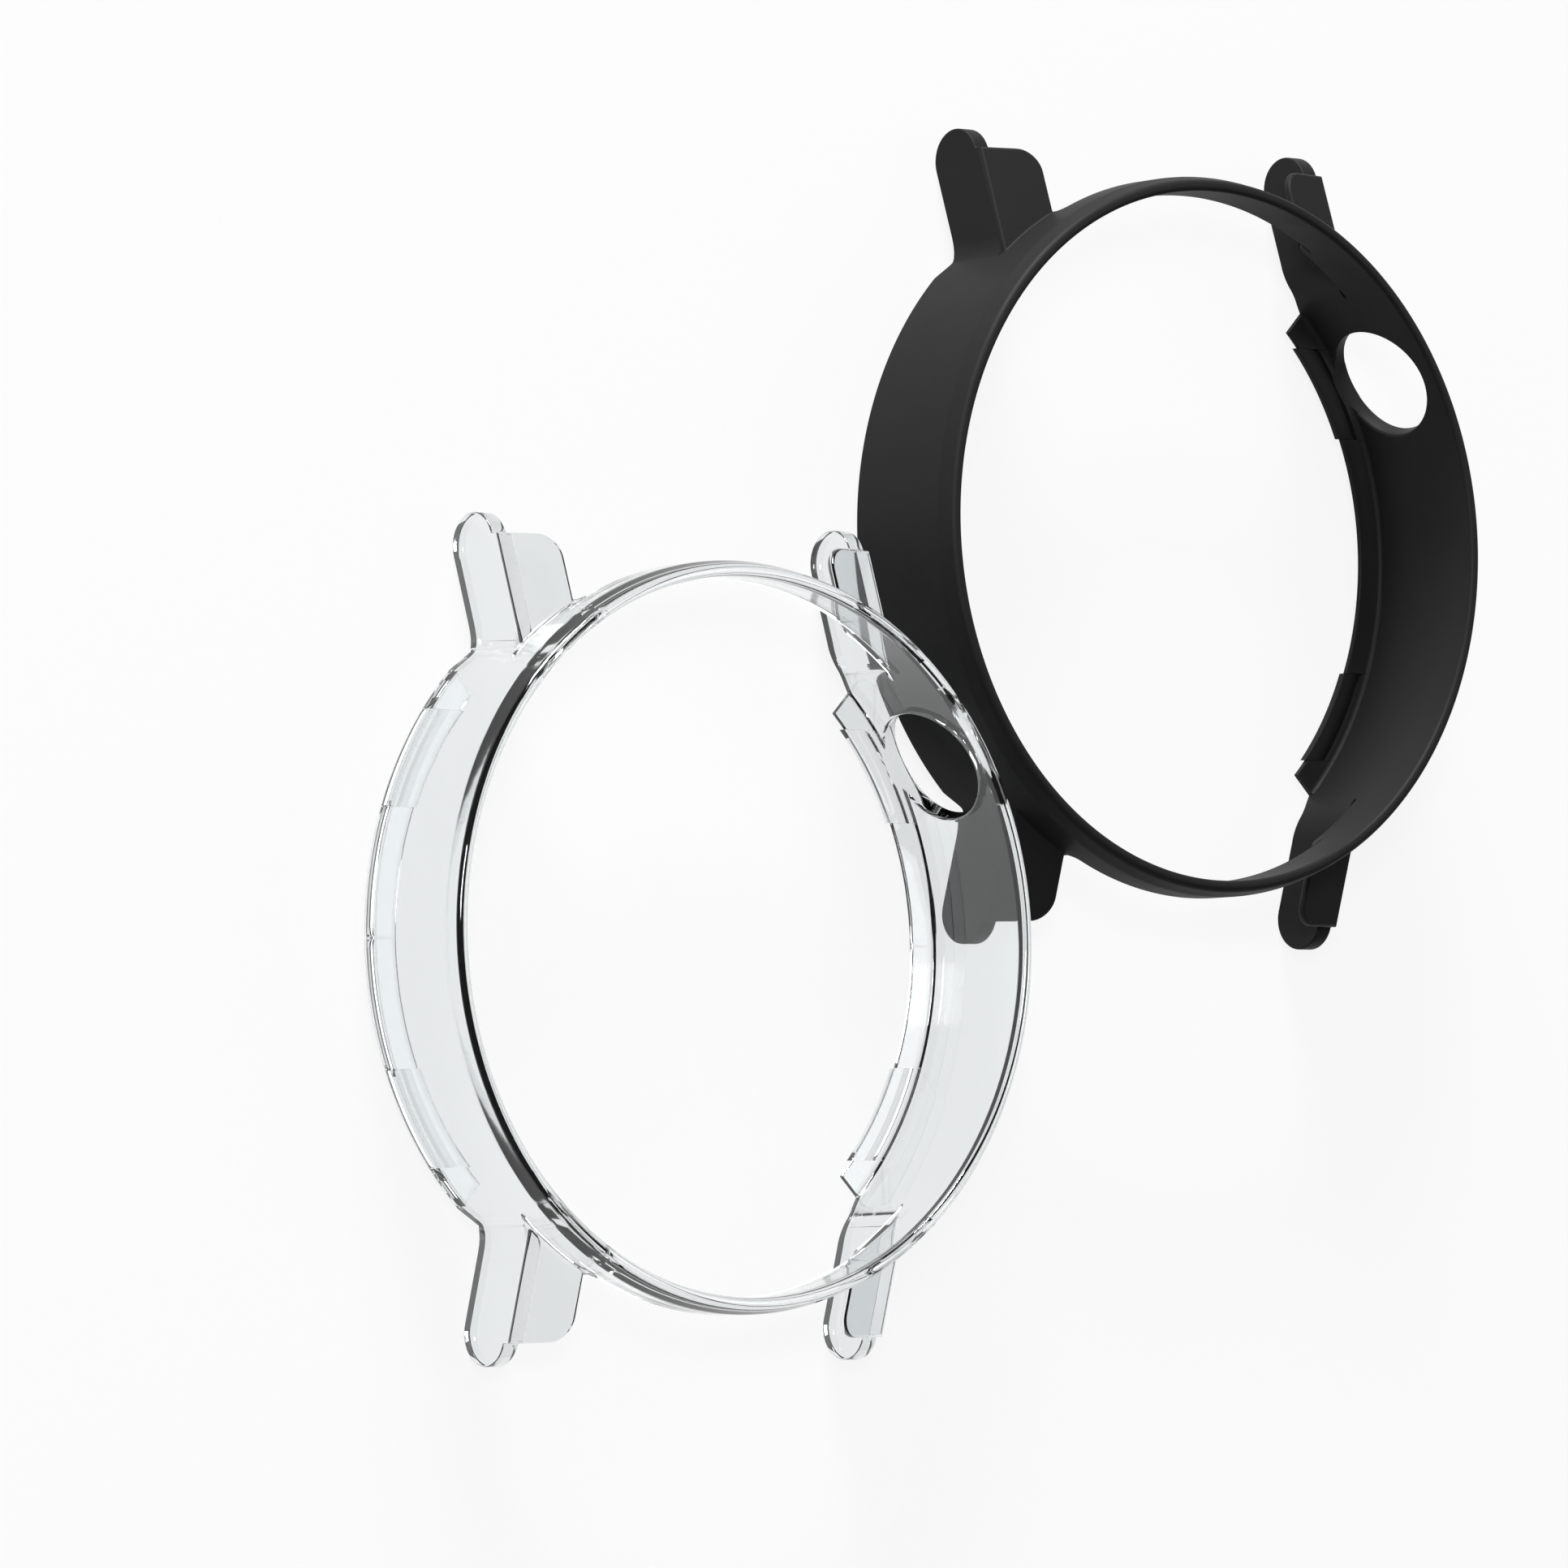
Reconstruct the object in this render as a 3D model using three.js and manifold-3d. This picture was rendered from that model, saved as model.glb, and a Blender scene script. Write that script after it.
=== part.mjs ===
// Two round bumper cases of one mould, a clear one and a black one, lying face up.
// Each case is one moulding: a round wall open at both faces, four lug covers, a ledge with snap hooks
// at the back, and a crown hole.
// A case's own frame: X towards 3 o'clock, Y towards 12 o'clock, Z out of the face, back edge at zero.

import * as THREE from 'three';
import { mergeVertices } from 'three/addons/utils/BufferGeometryUtils.js';
import Module from 'manifold-3d';

const wasm = await Module();
wasm.setup();

// Round wall, in millimetres
const ringRadius = 24.04;
const ringWall = 1.06;
const ringDepth = 9.4;
const rimOuterRound = 0.45;
const rimInnerRound = 0.3;
const shoulderDrop = 0.75;
const shoulderInset = 0.24;

// Front band between the plates of two lug covers, at 12 and 6 o'clock
const bandDepth = 3.35;

// Four lug covers, in pairs beside the band
const lugSpan = 30.98;
const lugWall = 1.24;
const lugRootRound = 2.4;
const lugLeanDegrees = 17.73;
const lugLength = 8.68;
const lugBackHeight = 0.64;
const tongueWidth = 4.17;
const heelLead = 1.45;
const heelRun = 2.0;
const heelCrest = 1.1;

// Front plate of each cover: it stands proud of the tongue and ends where the round tip begins
const plateSpan = 4.34;
const plateStep = 0.53;
const plateThickness = 0.6;
const plateCamberDegrees = 12.17;
const plateCornerRound = 1.55;

// Ledge along the back of the wall, and the snap hooks in it
const ledgeWidth = 1.85;
const ledgeThickness = 0.35;
const ledgeRound = 0.22;
const ledgeHalfAngleDegrees = 45.6;
const hookStartY = 8.05;
const hookEndY = 14.1;
const hookReach = 0.18;
const hookDrop = 0.15;
const lipWidth = 0.3;

// Crown hole, on the wall at 2 o'clock, down to just above the back edge
const crownDiameter = 7.84;
const crownAngleDegrees = 30.5;
const crownSill = 0.15;

// Place of the two cases on the surface
const caseOffsetX = 41.2;
const caseOffsetY = 27.2;

// Fineness of the round shapes
const ringSteps = 72;
const cornerSteps = 4;
const holeSteps = 32;

// Sizes that follow
const overrun = ringRadius;
const boreRadius = ringRadius - ringWall;
const halfLugSpan = lugSpan / 2;
const lugLean = THREE.MathUtils.degToRad(lugLeanDegrees);
const plateCamber = THREE.MathUtils.degToRad(plateCamberDegrees);
const bandBack = ringDepth - bandDepth;
const lugRootY = Math.sqrt(ringRadius ** 2 - halfLugSpan ** 2);
const heelStartY = lugRootY - heelLead;
const heelEndY = heelStartY + heelRun;
const tipEndY = lugRootY + lugLength;
const tipRadius = tongueWidth / 2;
const tipY = tipEndY - tipRadius;
const plateEndY = tipY + tipRadius * Math.sin(lugLean);
const backEdgeHeight = (y) => lugBackHeight - (y - lugRootY) * Math.tan(lugLean);
const frontEdgeHeight = (y) => backEdgeHeight(y) + (tongueWidth + plateStep) / Math.cos(lugLean);
const tipZ = backEdgeHeight(tipY) + tipRadius / Math.cos(lugLean);
const restLift = tipRadius - tipZ;
const crownHeight = crownSill + crownDiameter / 2;

function toSolid(geometry) {
  const bare = geometry.index ? geometry.toNonIndexed() : geometry.clone();
  bare.deleteAttribute('normal');
  bare.deleteAttribute('uv');
  const merged = mergeVertices(bare);
  const vertProperties = Float32Array.from(merged.attributes.position.array);
  const triVerts = Uint32Array.from(merged.index.array);
  return new wasm.Manifold(new wasm.Mesh({ numProp: 3, vertProperties, triVerts }));
}

function toGeometry(solid) {
  const { vertProperties, triVerts } = solid.getMesh();
  const geometry = new THREE.BufferGeometry();
  geometry.setAttribute('position', new THREE.BufferAttribute(vertProperties, 3));
  geometry.setIndex(new THREE.BufferAttribute(triVerts, 1));
  geometry.computeVertexNormals();
  return geometry;
}

const joinAll = (solids) => solids.reduce((sum, next) => sum.add(next));

// Points of an arc in a plane, from one angle to another
function arcPoints(x, y, radius, from, to, steps) {
  const points = [];
  for (let i = 0; i <= steps; i += 1) {
    const angle = from + ((to - from) * i) / steps;
    points.push(new THREE.Vector2(x + radius * Math.cos(angle), y + radius * Math.sin(angle)));
  }
  return points;
}

// A solid of revolution about Z from an outline of radius and height, anticlockwise
function revolve(outline) {
  const geometry = new THREE.LatheGeometry([...outline, outline[0].clone()], ringSteps);
  return toSolid(geometry.rotateX(Math.PI / 2));
}

// A prism with its outline in X and Y, from one height to another
function prismAlongZ(outline, bottom, top) {
  const shape = new THREE.Shape(outline);
  const geometry = new THREE.ExtrudeGeometry(shape, { depth: top - bottom, bevelEnabled: false });
  return toSolid(geometry.translate(0, 0, bottom));
}

// A prism with its outline in Y and Z, centred across X
function prismAlongX(outline, width) {
  const shape = new THREE.Shape(outline);
  const geometry = new THREE.ExtrudeGeometry(shape, { depth: width, bevelEnabled: false });
  const turn = new THREE.Matrix4().set(0, 0, 1, -width / 2, 1, 0, 0, 0, 0, 1, 0, 0, 0, 0, 0, 1);
  return toSolid(geometry.applyMatrix4(turn));
}

// A wedge about Z that keeps the angles between two directions
function sector(from, to) {
  const reach = ringRadius + overrun;
  const outline = [new THREE.Vector2(0, 0), ...arcPoints(0, 0, reach, from, to, cornerSteps)];
  return prismAlongZ(outline, -overrun, ringDepth + overrun);
}

// Disc with the outer surface of the round wall: a straight side, a soft shoulder and a rounded rim
function outerDisc() {
  const rimRadius = ringRadius - shoulderInset;
  const outline = [
    new THREE.Vector2(0, 0),
    new THREE.Vector2(ringRadius, 0),
    new THREE.Vector2(ringRadius, ringDepth - rimOuterRound - shoulderDrop),
    ...arcPoints(rimRadius - rimOuterRound, ringDepth - rimOuterRound, rimOuterRound,
      0, Math.PI / 2, cornerSteps),
    new THREE.Vector2(0, ringDepth),
  ];
  return revolve(outline);
}

// Bore of the round wall, flared by the rounded inner edge of the rim
function bore() {
  const flareRadius = boreRadius + rimInnerRound;
  const flareHeight = ringDepth - rimInnerRound;
  const outline = [
    new THREE.Vector2(0, -overrun),
    new THREE.Vector2(boreRadius, -overrun),
    ...arcPoints(flareRadius, flareHeight, rimInnerRound, Math.PI, Math.PI / 2, cornerSteps),
    new THREE.Vector2(flareRadius, ringDepth + overrun),
    new THREE.Vector2(0, ringDepth + overrun),
  ];
  return revolve(outline);
}

// Half outline in X and Y of what lies between two lug walls, flowing into the round wall by a fillet
function lugPlan(halfSpan, rootRound, startRadius, reach) {
  const centreX = halfSpan + rootRound;
  const centreY = Math.sqrt((startRadius + rootRound) ** 2 - centreX ** 2);
  const rootAngle = Math.PI + Math.atan2(centreY, centreX);
  const right = arcPoints(centreX, centreY, rootRound, rootAngle, Math.PI, cornerSteps);
  right.push(new THREE.Vector2(halfSpan, reach));
  const left = right.map((point) => new THREE.Vector2(-point.x, point.y)).reverse();
  return [...right, ...left];
}

// Curve of the heel in Y and Z: it climbs from the back edge of the wall and runs out along the tongue
function heelCurve() {
  const curve = new THREE.QuadraticBezierCurve(
    new THREE.Vector2(heelStartY, 0),
    new THREE.Vector2(lugRootY, heelCrest),
    new THREE.Vector2(heelEndY, backEdgeHeight(heelEndY)),
  );
  return curve.getPoints(cornerSteps + 2);
}

// Side view of a lug cover in Y and Z: the heel, a tongue that leans back, a full round tip, and the
// step up to the front plate
function tongueOutline() {
  const lowest = -Math.PI / 2;
  const tipStart = arcPoints(tipY, tipZ, tipRadius, lowest - lugLean, lowest, cornerSteps / 2);
  const tip = arcPoints(tipY, tipZ, tipRadius, lowest, Math.PI / 2 - lugLean, cornerSteps * 3);
  const innerY = heelStartY - heelRun;
  return [
    new THREE.Vector2(innerY, 0),
    ...heelCurve(),
    ...tipStart.slice(0, -1),
    ...tip,
    new THREE.Vector2(plateEndY, frontEdgeHeight(plateEndY)),
    new THREE.Vector2(innerY, frontEdgeHeight(innerY)),
  ];
}

// What the heel and the tongue's back line take off the back edge of the round wall
function heelCut() {
  const farY = heelStartY + overrun;
  const outline = [
    new THREE.Vector2(heelStartY, -overrun),
    new THREE.Vector2(farY, -overrun),
    new THREE.Vector2(farY, backEdgeHeight(farY)),
    ...heelCurve().reverse(),
  ];
  return prismAlongX(outline, ringRadius * 2);
}

// Front plate of the lug cover on the right: it follows the lean of the tongue, climbs inwards and
// has a round free corner
function frontPlate() {
  const innerX = halfLugSpan - plateSpan;
  const outline = [
    new THREE.Vector2(innerX, heelStartY),
    new THREE.Vector2(halfLugSpan, heelStartY),
    new THREE.Vector2(halfLugSpan, plateEndY),
    ...arcPoints(innerX + plateCornerRound, plateEndY - plateCornerRound, plateCornerRound,
      Math.PI / 2, Math.PI, cornerSteps),
  ];
  const shape = new THREE.Shape(outline);
  const geometry = new THREE.ExtrudeGeometry(shape, { depth: plateThickness, bevelEnabled: false });
  const slopeX = -Math.tan(plateCamber);
  const slopeY = -Math.tan(lugLean);
  const height = frontEdgeHeight(0) - slopeX * halfLugSpan - plateThickness;
  const slant = new THREE.Matrix4().set(1, 0, 0, 0, 0, 1, 0, 0, slopeX, slopeY, 1, height, 0, 0, 0, 1);
  return toSolid(geometry.applyMatrix4(slant));
}

// Foot of the ledge in section: the middle of the wall and the fillet down to the ledge's top
function ledgeFoot(back) {
  const wallMiddle = ringRadius - ringWall / 2;
  return [
    new THREE.Vector2(wallMiddle, back),
    new THREE.Vector2(wallMiddle, ledgeThickness + ledgeRound),
    ...arcPoints(boreRadius - ledgeRound, ledgeThickness + ledgeRound, ledgeRound,
      0, -Math.PI / 2, cornerSteps),
  ];
}

// The ledge's section: flat on top
function ledgeOutline() {
  const innerRadius = boreRadius - ledgeWidth;
  return [
    new THREE.Vector2(innerRadius, 0),
    ...ledgeFoot(0),
    new THREE.Vector2(innerRadius, ledgeThickness),
  ];
}

// A hook's section: it reaches further in and back than the ledge and is scooped out behind its lip
function hookOutline() {
  const innerRadius = boreRadius - ledgeWidth - hookReach;
  const lipRadius = innerRadius + lipWidth;
  const footRadius = boreRadius - ledgeRound;
  const scoop = new THREE.QuadraticBezierCurve(
    new THREE.Vector2(footRadius, ledgeThickness),
    new THREE.Vector2((footRadius + lipRadius) / 2, -hookDrop),
    new THREE.Vector2(lipRadius, ledgeThickness),
  );
  return [
    new THREE.Vector2(innerRadius, -hookDrop),
    ...ledgeFoot(-hookDrop),
    ...scoop.getPoints(cornerSteps + 2).slice(1),
    new THREE.Vector2(innerRadius, ledgeThickness),
  ];
}

// Slab in X and Y beside 3 o'clock, between two values of Y, that a hook's ends are cut to
function hookSlab(fromY, toY) {
  return prismAlongZ([
    new THREE.Vector2(0, fromY),
    new THREE.Vector2(ringRadius, fromY),
    new THREE.Vector2(ringRadius, toY),
    new THREE.Vector2(0, toY),
  ], -overrun, ringDepth);
}

function crownHole() {
  const radius = crownDiameter / 2;
  const length = ringWall * 3;
  const geometry = new THREE.CylinderGeometry(radius, radius, length, holeSteps);
  geometry.rotateZ(-Math.PI / 2);
  geometry.translate(ringRadius - ringWall / 2 + (length - ringWall * 2) / 2, 0, crownHeight);
  return toSolid(geometry.rotateZ(THREE.MathUtils.degToRad(crownAngleDegrees)));
}

// The whole moulding as one solid
function caseSolid() {
  const halfTurn = [0, 0, 180];
  const innerSpan = halfLugSpan - lugWall;
  const plateInnerX = halfLugSpan - plateSpan;
  const plateRootTop = frontEdgeHeight(lugRootY);
  const gapPlan = lugPlan(innerSpan, lugRootRound + lugWall, boreRadius, tipEndY + overrun);
  const underBand = prismAlongZ([
    new THREE.Vector2(-plateInnerX, 0),
    new THREE.Vector2(plateInnerX, 0),
    new THREE.Vector2(plateInnerX, ringRadius + overrun),
    new THREE.Vector2(-plateInnerX, ringRadius + overrun),
  ], -overrun, bandBack);
  const underPlates = prismAlongZ(gapPlan, -overrun, plateRootTop - plateThickness / 2);
  const endCut = joinAll([underBand, underPlates, heelCut()]);

  const rightPlate = frontPlate();
  const wholeTab = prismAlongZ(lugPlan(halfLugSpan, lugRootRound, ringRadius, tipEndY + overrun),
    -overrun, ringDepth).intersect(prismAlongX(tongueOutline(), ringRadius * 2));
  const sideWalls = wholeTab.subtract(prismAlongZ(gapPlan, -overrun, ringDepth + overrun));
  const covers = joinAll([sideWalls, rightPlate, rightPlate.mirror([1, 0, 0])]);

  let body = outerDisc();
  body = body.subtract(endCut).subtract(endCut.rotate(halfTurn));
  body = body.add(covers).add(covers.rotate(halfTurn));
  body = body.subtract(bore());

  const ledgeAngle = THREE.MathUtils.degToRad(ledgeHalfAngleDegrees);
  const wholeLedge = revolve(ledgeOutline()).intersect(sector(-ledgeAngle, ledgeAngle));
  const slabs = joinAll([hookSlab(hookStartY, hookEndY), hookSlab(-hookEndY, -hookStartY)]);
  const hooks = revolve(hookOutline()).intersect(slabs);
  const catches = wholeLedge.subtract(slabs).add(hooks);
  body = body.add(catches).add(catches.rotate(halfTurn));
  return body.subtract(crownHole());
}

const clearPlastic = new THREE.MeshStandardMaterial({
  color: 0xf2f5f7, roughness: 0.08, metalness: 0, transparent: true, opacity: 0.35,
});
const blackPlastic = new THREE.MeshStandardMaterial({ color: 0x222222, roughness: 0.42, metalness: 0 });

const caseShape = toGeometry(caseSolid());

const clearCase = new THREE.Mesh(caseShape, clearPlastic);
clearCase.name = 'clear_case';
clearCase.position.set(-caseOffsetX / 2, -caseOffsetY / 2, restLift);

const blackCase = new THREE.Mesh(caseShape, blackPlastic);
blackCase.name = 'black_case';
blackCase.position.set(caseOffsetX / 2, caseOffsetY / 2, restLift);

const group = new THREE.Group();
group.add(clearCase, blackCase);
export default group;
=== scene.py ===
import math

import bmesh
import bpy
from mathutils import Matrix, Vector


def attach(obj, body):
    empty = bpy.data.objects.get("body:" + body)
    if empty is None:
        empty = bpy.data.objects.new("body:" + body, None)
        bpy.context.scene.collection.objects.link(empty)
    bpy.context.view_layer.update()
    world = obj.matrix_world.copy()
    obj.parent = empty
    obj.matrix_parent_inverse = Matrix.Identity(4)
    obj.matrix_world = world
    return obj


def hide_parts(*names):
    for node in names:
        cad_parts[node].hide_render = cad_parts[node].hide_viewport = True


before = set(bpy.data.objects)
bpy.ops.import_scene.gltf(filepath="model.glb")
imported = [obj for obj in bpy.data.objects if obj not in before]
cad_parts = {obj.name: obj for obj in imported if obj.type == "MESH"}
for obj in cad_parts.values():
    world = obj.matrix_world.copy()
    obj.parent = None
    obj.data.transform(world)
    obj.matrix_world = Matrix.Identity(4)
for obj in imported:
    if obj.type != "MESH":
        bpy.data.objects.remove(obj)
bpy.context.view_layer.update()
scene = bpy.context.scene

# Round wall of the case.
# A thin band of injection-moulded plastic that springs open to snap on, open at both faces and drawn
# in a little below its rounded front rim. A quarter of the moulding is shaped here, in millimetres.
ring_radius = 24.04
bore_radius = 22.98
ring_depth = 9.4
shoulder_start = 8.2
shoulder_blend = 0.15
blend_middle_share = 0.25
rim_radius = 23.8
rim_outer_round = 0.45
rim_outer_steps = 7
rim_inner_round = 0.3
rim_inner_steps = 5
wall_start_degrees = -4.65
wall_turn_degrees = 98.66667
wall_columns = 80
same_corner = 0.0005


def arc(x, y, radius, start, end, steps):
    """Points on an arc, from one angle to another in degrees."""
    angles = [math.radians(start + (end - start) * i / steps) for i in range(steps + 1)]
    return [(x + radius * math.cos(a), y + radius * math.sin(a)) for a in angles]


def drawn(name, corners):
    """A flat face drawn corner by corner: one vertex extruded along the outline, then filled."""
    bpy.ops.object.select_all(action="DESELECT")
    bpy.ops.mesh.primitive_plane_add(size=1)
    face = bpy.context.object
    face.name = name
    bpy.ops.object.mode_set(mode="EDIT")
    bpy.ops.mesh.merge(type="CENTER")
    bpy.ops.transform.translate(value=Vector(corners[0]))
    for here, there in zip(corners, corners[1:]):
        step = Vector(there) - Vector(here)
        bpy.ops.mesh.extrude_vertices_move(TRANSFORM_OT_translate={"value": step})
    bpy.ops.mesh.select_all(action="SELECT")
    bpy.ops.mesh.edge_face_add()
    return face


def closed(piece):
    """Ends the edit of a piece, with its doubles merged and its faces outwards."""
    bpy.ops.mesh.select_all(action="SELECT")
    bpy.ops.mesh.remove_doubles(threshold=same_corner)
    bpy.ops.mesh.normals_make_consistent(inside=False)
    bpy.ops.object.mode_set(mode="OBJECT")
    return piece


def turned(name, section, start, turn, steps):
    """A solid from a section of radius and height that is spun about Z from a start angle."""
    cosine, sine = math.cos(math.radians(start)), math.sin(math.radians(start))
    face = drawn(name, [(r * cosine, r * sine, z) for r, z in section])
    bpy.ops.mesh.spin(steps=steps, angle=math.radians(turn), center=(0, 0, 0), axis=(0, 0, -1))
    return closed(face)


rim_start = ring_depth - rim_outer_round
shoulder_end = rim_start - shoulder_start
blend_inset = (ring_radius - rim_radius) * shoulder_blend / shoulder_end
wall_section = [
    (bore_radius, 0),
    (ring_radius, 0),
    (ring_radius, shoulder_start - shoulder_blend),
    (ring_radius - blend_inset * blend_middle_share, shoulder_start),
    (ring_radius - blend_inset, shoulder_start + shoulder_blend),
    *arc(rim_radius - rim_outer_round, rim_start, rim_outer_round, 0, 90, rim_outer_steps),
    *arc(bore_radius + rim_inner_round, ring_depth - rim_inner_round, rim_inner_round, 90, 180,
         rim_inner_steps),
]
wall = turned("wall", wall_section, wall_start_degrees, wall_turn_degrees, wall_columns)

# Lug covers, and the front band between them.
# At four places the wall bends out into a flat tongue, which leans back and ends in a round tip. A
# slanted plate with a round free corner closes each cover at the front. All are one moulding.
wall_middle = 23.5
lug_half_span = 15.49
lug_wall = 1.24
lug_root = 18.384
lean_degrees = 17.73
tongue_back = 0.64
tongue_width = 4.17
tip_place = 24.979
tip_depth = 0.7203
tip_radius = 2.078
tip_steps = 32

bend_radius = 2.4
bend_steps = 12
root_radius = 3.13
root_end = 19.5
root_start_degrees = 209
side_start_degrees = 53.5
side_end_degrees = 48.0
side_bottom = -2
side_height = 10

heel_azimuth = 45.2
heel_slope = 0.42
heel_crest_place = 17.75
heel_crest = 0.72
heel_drop_slope = 0.26
heel_crest_round = 0.5
heel_end = 19.8
heel_block = 6
heel_block_x = 15.4
heel_block_z = -0.9
heel_highest = 1.5
heel_end_margin = 1
heel_sharp_degrees = 20

gap_half_width = 11.15
gap_start = 8
band_start = 12
band_back = 6.05
band_corner = 0.85
corner_steps = 8

plate_relief = 5.38
plate_step = 0.53
plate_thickness = 0.6
plate_camber_degrees = 12.17
plate_start_degrees = 48.8
plate_end_degrees = 61.7
plate_root_steps = 6
plate_corner = 1.55
plate_corner_steps = 10
plate_round = 0.2
plate_root_margin = 0.1
plate_end_margin = 0.3
plate_back_margin = 0.2

edge_round = 0.11
edge_steps = 4
step_start = 18.2
step_reach = 0.1

# How far the solids reach that are cut away, and how close counts as the same place.
far = 34.0
below = -6.0
past_middle = -6
tip_room_start = 5
tip_room_width = 22
near = 0.01
on_cut = 0.0001
crumb = 0.01
sliver = 0.005

lean = math.radians(lean_degrees)
camber_slope = math.tan(math.radians(plate_camber_degrees))
lug_inner = lug_half_span - lug_wall
bend_x = lug_half_span + bend_radius


def back_edge(y):
    """Height of the tongue's back edge."""
    return tongue_back - (y - lug_root) * math.tan(lean)


def front_edge(y):
    """Height of the tongue's front edge, where the plate sits."""
    return back_edge(y) + tongue_width / math.cos(lean)


def plate_top(x, y):
    """Height of the plate's front face."""
    return front_edge(y) + plate_step / math.cos(lean) + (lug_half_span - x) * camber_slope


def raised(name, corners, step):
    """A solid from a drawn face, extruded by a step."""
    face = drawn(name, corners)
    bpy.ops.mesh.extrude_region_move(TRANSFORM_OT_translate={"value": Vector(step)})
    return closed(face)


def combine(piece, other, operation):
    """Adds or takes away another solid, which is used up."""
    fit = piece.modifiers.new("fit", "BOOLEAN")
    fit.operation = operation
    fit.solver = "MANIFOLD"
    fit.object = other
    bpy.ops.object.select_all(action="DESELECT")
    bpy.context.view_layer.objects.active = piece
    bpy.ops.object.modifier_apply(modifier=fit.name)
    bpy.data.objects.remove(other)


def edit(piece):
    """Opens a piece in edit mode."""
    bpy.ops.object.select_all(action="DESELECT")
    bpy.context.view_layer.objects.active = piece
    piece.select_set(True)
    bpy.ops.object.mode_set(mode="EDIT")


def cut_off(piece, place, normal, fill=True):
    """Cuts a piece along a plane and drops what lies on the side of the normal."""
    edit(piece)
    bpy.ops.mesh.select_all(action="SELECT")
    bpy.ops.mesh.bisect(plane_co=place, plane_no=normal, use_fill=fill, clear_outer=True,
                        threshold=on_cut)
    bpy.ops.object.mode_set(mode="OBJECT")


def clean(piece, smallest_face):
    """Merges the corners that booleans left within a crumb, and drops faces that have no width."""
    edit(piece)
    bpy.ops.mesh.select_all(action="SELECT")
    bpy.ops.mesh.remove_doubles(threshold=crumb)
    bpy.ops.mesh.dissolve_degenerate(threshold=smallest_face)
    bpy.ops.object.mode_set(mode="OBJECT")


def round_edges(piece, width, steps, wanted, sharp_degrees=33.0):
    """Rounds over the sharp edges of a piece whose middle passes a test of place."""
    edit(piece)
    bpy.ops.mesh.select_mode(type="EDGE")
    bpy.ops.mesh.select_all(action="DESELECT")
    bpy.ops.mesh.edges_select_sharp(sharpness=math.radians(sharp_degrees))
    form = bmesh.from_edit_mesh(piece.data)
    for line in form.edges:
        if line.select and not wanted((line.verts[0].co + line.verts[1].co) / 2):
            line.select_set(False)
    form.select_flush_mode()
    bmesh.update_edit_mesh(piece.data)
    bpy.ops.mesh.bevel(offset=width, segments=steps, affect="EDGES", clamp_overlap=False)
    bpy.ops.mesh.select_mode(type="VERT")
    bpy.ops.object.mode_set(mode="OBJECT")


# The side of the cover, with the bend from the round wall on its outer face.
root_x = lug_half_span + root_radius
outer_bend = arc(root_x, root_end, root_radius, root_start_degrees, 180, bend_steps)
inside_wall = arc(0, 0, wall_middle, side_start_degrees, side_end_degrees, edge_steps)
side_plan = [*inside_wall, *outer_bend, (lug_half_span, far), (inside_wall[0][0], far)]
side = raised("side", [(x, y, side_bottom) for x, y in side_plan], (0, 0, side_height))
side_top = plate_top(lug_half_span, lug_root) - plate_thickness / 2
cut_off(side, (lug_half_span, lug_root, side_top), (camber_slope, math.tan(lean), 1))
combine(wall, side, "UNION")

# The room inside the covers and behind the band, with the bend on their inner face.
bend_inner_y = math.sqrt((bore_radius + bend_radius + lug_wall) ** 2 - bend_x ** 2)
bend_inner_degrees = math.degrees(math.atan2(bend_inner_y, bend_x))
inner_bend = arc(bend_x, bend_inner_y, bend_radius + lug_wall, 180 + bend_inner_degrees, 180, bend_steps)
gap_plan = [(past_middle, gap_start), *inner_bend, (lug_inner, far), (past_middle, far)]
gap_room = raised("gap_room", [(x, y, below) for x, y in gap_plan], (0, 0, plate_relief - below))
combine(wall, gap_room, "DIFFERENCE")

band_plan = [(past_middle, band_start), (gap_half_width, band_start), (gap_half_width, far),
             (past_middle, far)]
band_room = raised("band_room", [(x, y, below) for x, y in band_plan], (0, 0, band_back - below))
round_edges(band_room, band_corner, corner_steps,
            lambda p: abs(p.x - gap_half_width) < near and abs(p.z - band_back) < near)
combine(wall, band_room, "DIFFERENCE")

# The round tip, seen from the side.
tip_arc = arc(tip_place, tip_depth, tip_radius, -90 - lean_degrees, 90 - lean_degrees, tip_steps)
plate_end = tip_arc[-1][0]
tip_side = [
    (heel_end, below),
    (heel_end, back_edge(heel_end)),
    *tip_arc,
    (plate_end, far),
    (far + 1, far),
    (far + 1, below),
]
tip_room = raised("tip_room", [(tip_room_start, y, z) for y, z in tip_side], (tip_room_width, 0, 0))
combine(wall, tip_room, "DIFFERENCE")

# The heel, where the back edge climbs from the wall to a crest and runs out along the tongue.
heel_angle = math.radians(heel_azimuth)
heel_line = (math.cos(heel_angle), math.sin(heel_angle))
heel_rise = Vector((heel_slope * heel_line[1], -heel_slope * heel_line[0], 1))
bpy.ops.object.select_all(action="DESELECT")
bpy.ops.mesh.primitive_cube_add(size=heel_block,
                                location=(heel_block_x, heel_end - heel_block / 2, heel_block_z))
heel_room = bpy.context.object
bpy.ops.object.transform_apply(location=True, rotation=False, scale=False)
cut_off(heel_room, (0, 0, 0), heel_rise)
cut_off(heel_room, (0, heel_crest_place, heel_crest), (0, heel_drop_slope, 1))
round_edges(heel_room, heel_crest_round, corner_steps,
            lambda p: p.y < heel_end - heel_end_margin and 0 < p.z < heel_highest, heel_sharp_degrees)
combine(wall, heel_room, "DIFFERENCE")

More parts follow.
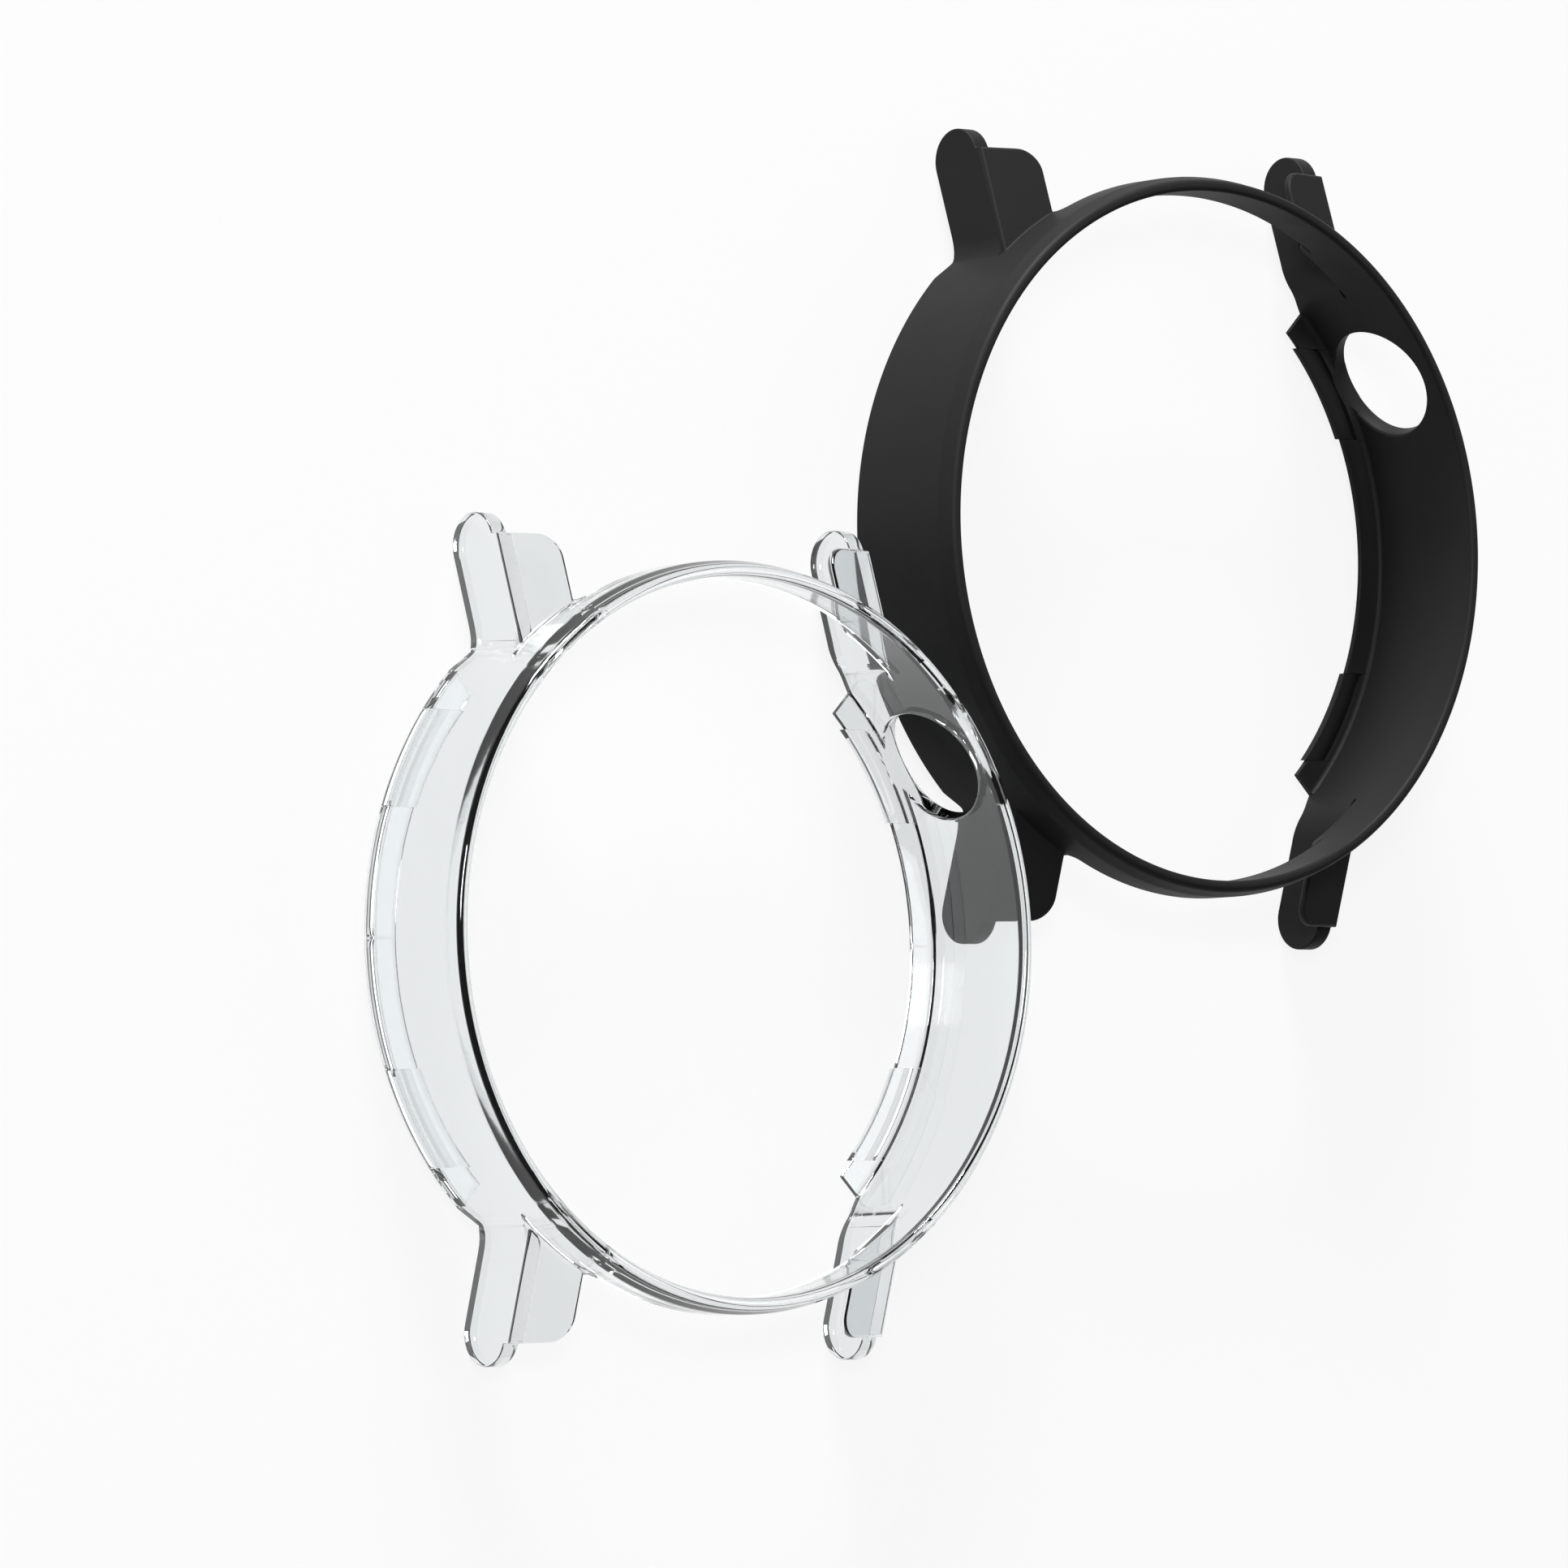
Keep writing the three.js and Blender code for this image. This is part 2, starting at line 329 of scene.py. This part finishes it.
# The front plate, rounded over before it is joined.
plate_plan = [
    *arc(0, 0, wall_middle, plate_start_degrees, plate_end_degrees, plate_root_steps),
    *arc(gap_half_width + plate_corner, plate_end - plate_corner, plate_corner, 180, 90,
         plate_corner_steps),
    (lug_half_span, plate_end),
]
plate_plan[0] = (lug_half_span, plate_plan[0][1])
plate_plan[plate_root_steps] = (gap_half_width, plate_plan[plate_root_steps][1])
plate = raised("plate", [(x, y, plate_top(x, y) - plate_thickness) for x, y in plate_plan],
               (0, 0, plate_thickness))
plate_heel = Vector((lug_half_span, plate_end))
round_edges(plate, plate_round, edge_steps,
            lambda p: p.xy.length > wall_middle + plate_root_margin and (p.xy - plate_heel).length > near)
combine(wall, plate, "UNION")


def rounded_later(p):
    """Whether an edge is rounded with the rest, which the plate's own and the step below it aren't."""
    clear_of_plate = p.y < plate_end - plate_end_margin or p.z < front_edge(p.y) + plate_back_margin
    height = plate_top(p.x, p.y) - plate_thickness / 2
    on_step = p.x > lug_half_span - step_reach and p.y > step_start and abs(p.z - height) < step_reach
    return clear_of_plate and not on_step


clean(wall, sliver)
round_edges(wall, edge_round, edge_steps, rounded_later)

# Marks of the mould on the inner wall.
# The cores that shape the bore and the inside of a lug cover meet here. They leave a shallow slit beside
# the front band, and a fine line over the lug cover's root that climbs towards the band.
slit_start_degrees = 59.7
slit_end_degrees = 63.3
slit_steps = 8
slit_back = 6.04
slit_height = 0.1
slit_depth = 0.2
slit_lead = 0.4
seam_middle_degrees = 54.0
seam_lead_radius = 22.3
seam_reach = 0.95
seam_outline = [
    (47.5, 5.38), (48.2, 5.22), (50.0, 5.29), (55.0, 5.30), (60.4, 5.31),
    (61.6, 5.43), (62.7, 5.66), (63.8, 6.06), (63.0, 6.06), (61.8, 5.80),
    (60.8, 5.58), (60.0, 5.48), (55.0, 5.46), (50.0, 5.45), (48.2, 5.52),
]

slit_section = [
    (bore_radius - slit_lead, slit_back),
    (bore_radius + slit_depth, slit_back),
    (bore_radius + slit_depth, slit_back + slit_height),
    (bore_radius - slit_lead, slit_back + slit_height),
]
band_slit = turned("band_slit", slit_section, slit_start_degrees,
                   slit_end_degrees - slit_start_degrees, slit_steps)
combine(wall, band_slit, "DIFFERENCE")

seam_angle = math.radians(seam_middle_degrees)
seam_radial = Vector((math.cos(seam_angle), math.sin(seam_angle), 0))
seam_tangent = Vector((-seam_radial.y, seam_radial.x, 0))
seam_corners = []
for azimuth, height in seam_outline:
    aside = bore_radius * math.sin(math.radians(azimuth - seam_middle_degrees))
    seam_corners.append(seam_radial * seam_lead_radius + seam_tangent * aside + Vector((0, 0, height)))
seam = raised("seam", seam_corners, seam_radial * seam_reach)
combine(wall, seam, "DIFFERENCE")

# Ledge and snap hooks.
# A thin strip along the back of the wall, moulded with it, with two scooped hooks that reach further
# in and snap the case in place. A fine slit parts each hook from the strip at both ends, so it springs.
ledge_radius = 21.13
ledge_thickness = 0.35
ledge_round = 0.3
ledge_edge_round = 0.1
ledge_end_degrees = 45.6
foot_height = 0.9
foot_start_degrees = -15
foot_steps = 5
hook_start = 8.05
hook_end = 14.1
hook_radius = 20.95
hook_drop = 0.15
lip_place = 21.6
lip_round = 0.08
root_place = 22.5
root_height = 0.05
fall_steps = 8
fall_power = 1.8
hook_slit = 0.02
web_inset = 0.12
web_thickness = 0.04

middle_turn_degrees = 30
middle_steps = 24
end_start_degrees = 35
end_steps = 9
hook_start_degrees = 18
hook_turn_degrees = 26
hook_steps = 22
web_start_degrees = 19.5
web_turn_degrees = 23.5
web_steps = 20
hook_sliver = 0.003
mirror_reach = 0.001

foot = [
    (wall_middle, foot_height),
    *arc(bore_radius - ledge_round, ledge_thickness + ledge_round, ledge_round, foot_start_degrees, -90,
         foot_steps),
]
ledge_section = [
    *arc(ledge_radius + ledge_edge_round, ledge_edge_round, ledge_edge_round, 180, 270, edge_steps),
    (wall_middle, 0),
    *foot,
    *arc(ledge_radius + ledge_edge_round, ledge_thickness - ledge_edge_round, ledge_edge_round, 90, 180,
         edge_steps),
]
fall = []
for i in range(1, fall_steps + 1):
    share = i / fall_steps
    fall.append((lip_place + (root_place - lip_place) * share,
                 ledge_thickness - (ledge_thickness - root_height) * share ** fall_power))
hook_section = [
    *arc(hook_radius + lip_round, -hook_drop + lip_round, lip_round, 180, 270, edge_steps),
    (wall_middle, -hook_drop),
    *foot,
    (root_place, ledge_thickness),
    *reversed(fall),
    (lip_place, ledge_thickness),
    *arc(hook_radius + lip_round, ledge_thickness - lip_round, lip_round, 90, 180, edge_steps),
]
web_section = [
    (ledge_radius + web_inset, 0),
    (wall_middle, 0),
    (wall_middle, web_thickness),
    (ledge_radius + web_inset, web_thickness),
]

# Strip and hook are spun longer than they are and cut to length, a slit apart. The web closes the slits.
middle_ledge = turned("middle_ledge", ledge_section, wall_start_degrees, middle_turn_degrees, middle_steps)
cut_off(middle_ledge, (0, hook_start - hook_slit / 2, 0), (0, 1, 0))
end_ledge = turned("end_ledge", ledge_section, end_start_degrees, ledge_end_degrees - end_start_degrees,
                   end_steps)
cut_off(end_ledge, (0, hook_end + hook_slit / 2, 0), (0, -1, 0))
hook = turned("hook", hook_section, hook_start_degrees, hook_turn_degrees, hook_steps)
cut_off(hook, (0, hook_start + hook_slit / 2, 0), (0, -1, 0))
cut_off(hook, (0, hook_end - hook_slit / 2, 0), (0, 1, 0))
web = turned("web", web_section, web_start_degrees, web_turn_degrees, web_steps)
for catch in (middle_ledge, end_ledge, hook, web):
    combine(wall, catch, "UNION")

# The quarter is trimmed to the two planes between the quarters, and mirrored to the whole moulding.
clean(wall, hook_sliver)
cut_off(wall, (0, 0, 0), (-1, 0, 0), fill=False)
cut_off(wall, (0, 0, 0), (0, -1, 0), fill=False)
mirror = wall.modifiers.new("mirror", "MIRROR")
mirror.use_axis = (True, True, False)
mirror.merge_threshold = mirror_reach
bpy.ops.object.modifier_apply(modifier=mirror.name)

# Crown hole.
# A round hole at 2 o'clock, shaped by a pin in the mould, down to just above the back edge. What sticks
# out there can be turned and pressed through it. Its edges are rounded over, the inner one more.
crown_radius = 3.92
crown_sides = 96
crown_azimuth = 30.5
crown_height = 4.07
crown_inner_end = 22.47
crown_depth = 3.0
crown_inner_round = 0.22
crown_inner_steps = 5
crown_inner_lowest = 0.7
crown_outer_round = 0.05
crown_outer_steps = 3
crown_outer_lowest = 0.4
rim_reach = 0.03
rim_crumb = 0.05

crown_angle = math.radians(crown_azimuth)
crown_axis = Vector((math.cos(crown_angle), math.sin(crown_angle), 0))
bpy.ops.object.select_all(action="DESELECT")
bpy.ops.mesh.primitive_cylinder_add(
    vertices=crown_sides, radius=crown_radius, depth=crown_depth,
    location=crown_axis * (crown_inner_end + crown_depth / 2) + Vector((0, 0, crown_height)),
    rotation=(0, math.pi / 2, crown_angle))
crown_room = bpy.context.object
combine(wall, crown_room, "DIFFERENCE")


def at_crown_rim(point, radius, lowest):
    """Whether a point is on the crown hole's edge at a radius of the wall, above a lowest height."""
    off_axis = (point - crown_axis * point.dot(crown_axis) - Vector((0, 0, crown_height))).length
    on_hole = abs(off_axis - crown_radius) < rim_reach
    return on_hole and abs(point.xy.length - radius) < rim_reach and point.z > lowest


edit(wall)
bpy.ops.mesh.select_all(action="DESELECT")
form = bmesh.from_edit_mesh(wall.data)
for corner in form.verts:
    corner.select_set(at_crown_rim(corner.co, bore_radius, crown_outer_lowest)
                      or at_crown_rim(corner.co, ring_radius, crown_outer_lowest))
form.select_flush_mode()
bmesh.update_edit_mesh(wall.data)
bpy.ops.mesh.remove_doubles(threshold=rim_crumb)
bpy.ops.object.mode_set(mode="OBJECT")
round_edges(wall, crown_inner_round, crown_inner_steps,
            lambda p: at_crown_rim(p, bore_radius, crown_inner_lowest))
round_edges(wall, crown_outer_round, crown_outer_steps,
            lambda p: at_crown_rim(p, ring_radius, crown_outer_lowest))

# Black case.
# ABS or polycarbonate coloured through, moulded against a fine satin-etched tool: a deep black
# with a soft broad sheen and a grain that only just shows. It stands beside the clear one.
black_place = Vector((20.6, 13.6, 1.364))
to_metres = 0.001
smooth_degrees = 34.0
black_colour = "#1a1a1b"
black_ior = 1.53
black_roughness = (0.5, 0.58)

# Matched to the photo's deep black: with the usual 0.5 the white surround turns it grey.
black_sheen = 0.085

# In metres. A real satin etch is about 0.03 mm fine, so its grain is drawn coarser to show at all, and
# its sheen varies a little over some 4 mm.
grain_size = 0.00016
grain_depth = 0.00001
grain_strength = 0.12
mottle_size = 0.003846


def set_down(piece, place):
    """Brings a finished case from millimetres to its place in metres, and smooths its faces."""
    edit(piece)
    bpy.ops.mesh.select_all(action="SELECT")
    bpy.ops.mesh.normals_make_consistent(inside=False)
    bpy.ops.transform.translate(value=place)
    bpy.ops.transform.resize(value=(to_metres,) * 3, center_override=(0, 0, 0))
    bpy.ops.object.mode_set(mode="OBJECT")
    bpy.ops.object.shade_smooth_by_angle(angle=math.radians(smooth_degrees))
    even = piece.modifiers.new("even_shading", "WEIGHTED_NORMAL")
    even.keep_sharp = True
    bpy.ops.object.modifier_apply(modifier=even.name)


def linear(code):
    """An sRGB hex colour as linear red, green and blue, with full alpha."""
    shares = [int(code[i:i + 2], 16) / 255 for i in (1, 3, 5)]
    return [s / 12.92 if s <= 0.04045 else ((s + 0.055) / 1.055) ** 2.4 for s in shares] + [1.0]


def add_node(tree, kind, inputs=None, links=None, **settings):
    """Adds a node with its settings, its input values and the sockets that feed it."""
    made = tree.nodes.new(kind)
    for name, value in settings.items():
        setattr(made, name, value)
    for name, value in (inputs or {}).items():
        made.inputs[name].default_value = value
    for name, socket in (links or {}).items():
        tree.links.new(socket, made.inputs[name])
    return made


clear_case = wall.copy()
clear_case.data = wall.data.copy()
clear_case.name = "clear_bumper"
scene.collection.objects.link(clear_case)

black_case = wall
black_case.name = "black_bumper"
set_down(black_case, black_place)

satin_black = bpy.data.materials.new("satin_moulded_black_abs")
satin_black.use_nodes = True
tree = satin_black.node_tree
shader = tree.nodes["Principled BSDF"]
place = add_node(tree, "ShaderNodeTexCoord")
grain = add_node(tree, "ShaderNodeTexNoise", {"Scale": 1 / grain_size, "Detail": 2.0, "Roughness": 0.6},
                 {"Vector": place.outputs["Object"]})
mottle = add_node(tree, "ShaderNodeTexNoise", {"Scale": 1 / mottle_size, "Detail": 4.0, "Roughness": 0.55},
                  {"Vector": place.outputs["Object"]})
rough = add_node(tree, "ShaderNodeMapRange",
                 {"From Min": 0.3, "From Max": 0.7,
                  "To Min": black_roughness[0], "To Max": black_roughness[1]},
                 {"Value": mottle.outputs["Fac"]})
relief = add_node(tree, "ShaderNodeBump", {"Strength": grain_strength, "Distance": grain_depth},
                  {"Height": grain.outputs["Fac"]})
shader.inputs["Base Color"].default_value = linear(black_colour)
shader.inputs["IOR"].default_value = black_ior
shader.inputs["Specular IOR Level"].default_value = black_sheen
tree.links.new(rough.outputs["Result"], shader.inputs["Roughness"])
tree.links.new(relief.outputs["Normal"], shader.inputs["Normal"])
black_case.data.materials.clear()
black_case.data.materials.append(satin_black)
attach(black_case, "root")
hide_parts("black_case")

# Clear case.
# The same moulding in clear polycarbonate from a polished tool: colourless, with smooth faces,
# bright lines where its edges gather the light and a faint cool tint in its thicker parts.
clear_place = Vector((-20.6, -13.6, 1.364))
clear_colour = "#eef1f2"
clear_roughness = 0.04
clear_ior = 1.58

set_down(clear_case, clear_place)
clear_plastic = bpy.data.materials.new("clear_polished_polycarbonate")
clear_plastic.use_nodes = True
tree = clear_plastic.node_tree
shader = tree.nodes["Principled BSDF"]
shader.inputs["Base Color"].default_value = linear(clear_colour)
shader.inputs["Roughness"].default_value = clear_roughness
shader.inputs["IOR"].default_value = clear_ior
shader.inputs["Transmission Weight"].default_value = 1.0
clear_case.data.materials.clear()
clear_case.data.materials.append(clear_plastic)
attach(clear_case, "root")
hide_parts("clear_case")

# Surface that the cases lie on.
# A plain pale sheet, far larger than the view. What looks straight at it, or at its image in the
# plastic, sees it mostly as an even white, and the rest of its tone keeps the soft shadows.
floor_size = 3.0
floor_colour = "#c4c4c3"
floor_roughness = 0.9
even_white_share = 0.88

bpy.ops.object.select_all(action="DESELECT")
bpy.ops.mesh.primitive_plane_add(size=floor_size)
floor = bpy.context.object
floor.name = "floor"
pale_sheet = bpy.data.materials.new("pale_matt_sheet")
pale_sheet.use_nodes = True
tree = pale_sheet.node_tree
shader = tree.nodes["Principled BSDF"]
shader.inputs["Base Color"].default_value = linear(floor_colour)
shader.inputs["Roughness"].default_value = floor_roughness
shader.inputs["Specular IOR Level"].default_value = 0.0
ray = add_node(tree, "ShaderNodeLightPath")
seen = add_node(tree, "ShaderNodeMath", {},
                {0: ray.outputs["Is Camera Ray"], 1: ray.outputs["Is Glossy Ray"]}, operation="MAXIMUM")
seen = add_node(tree, "ShaderNodeMath", {},
                {0: seen.outputs[0], 1: ray.outputs["Is Transmission Ray"]}, operation="MAXIMUM")
white_part = add_node(tree, "ShaderNodeMath", {1: even_white_share}, {0: seen.outputs[0]},
                      operation="MULTIPLY")
even_white = add_node(tree, "ShaderNodeEmission", {"Strength": 1.0})
sheet = add_node(tree, "ShaderNodeMixShader", {}, {0: white_part.outputs[0], 1: shader.outputs["BSDF"],
                                                   2: even_white.outputs["Emission"]})
tree.links.new(sheet.outputs["Shader"], tree.nodes["Material Output"].inputs["Surface"])
floor.data.materials.append(pale_sheet)

# Light of a small photo tent.
# An even white surround and three soft lamps turned to the cases, so that edges are bright and
# shadows are soft.
tent_strength = 0.12

surround = bpy.data.worlds.new("white_tent")
scene.world = surround
surround.use_nodes = True
surround.node_tree.nodes["Background"].inputs["Color"].default_value = (1, 1, 1, 1)
surround.node_tree.nodes["Background"].inputs["Strength"].default_value = tent_strength


def soft_lamp(name, place, size, power):
    """A square lamp at a place, turned to the middle of the two cases."""
    data = bpy.data.lights.new(name, "AREA")
    data.size = size
    data.energy = power
    lamp = bpy.data.objects.new(name, data)
    scene.collection.objects.link(lamp)
    lamp.location = place
    lamp.rotation_euler = (-Vector(place)).to_track_quat("-Z", "Y").to_euler()


soft_lamp("key", place=(-0.17, 0.79, 0.21), size=0.3, power=16.0)
soft_lamp("left", place=(-0.48, 0.15, 0.65), size=0.18, power=4.4)
soft_lamp("top", place=(0.51, 0.04, 0.61), size=0.4, power=1.3)

# Camera at the photograph's place.
# Its place, aim, roll and lens come from a fit to the outlines of the black case.
camera_place = Vector((-0.412670, -0.037691, 0.480298))
camera_aim = Vector((-0.008851, -0.003078, 0))
camera_roll_degrees = 85.315
sensor_width = 36
focal_length = 221.0358
nearest_seen = 0.01

lens = bpy.data.cameras.new("camera")
camera = bpy.data.objects.new("camera", lens)
scene.collection.objects.link(camera)
scene.camera = camera
lens.sensor_width = sensor_width
lens.lens = focal_length
lens.clip_start = nearest_seen
look = (camera_aim - camera_place).to_track_quat("-Z", "Y").to_matrix().to_4x4()
roll = Matrix.Rotation(math.radians(camera_roll_degrees), 4, "Z")
camera.matrix_world = Matrix.Translation(camera_place) @ look @ roll

scene.view_settings.view_transform = "Standard"
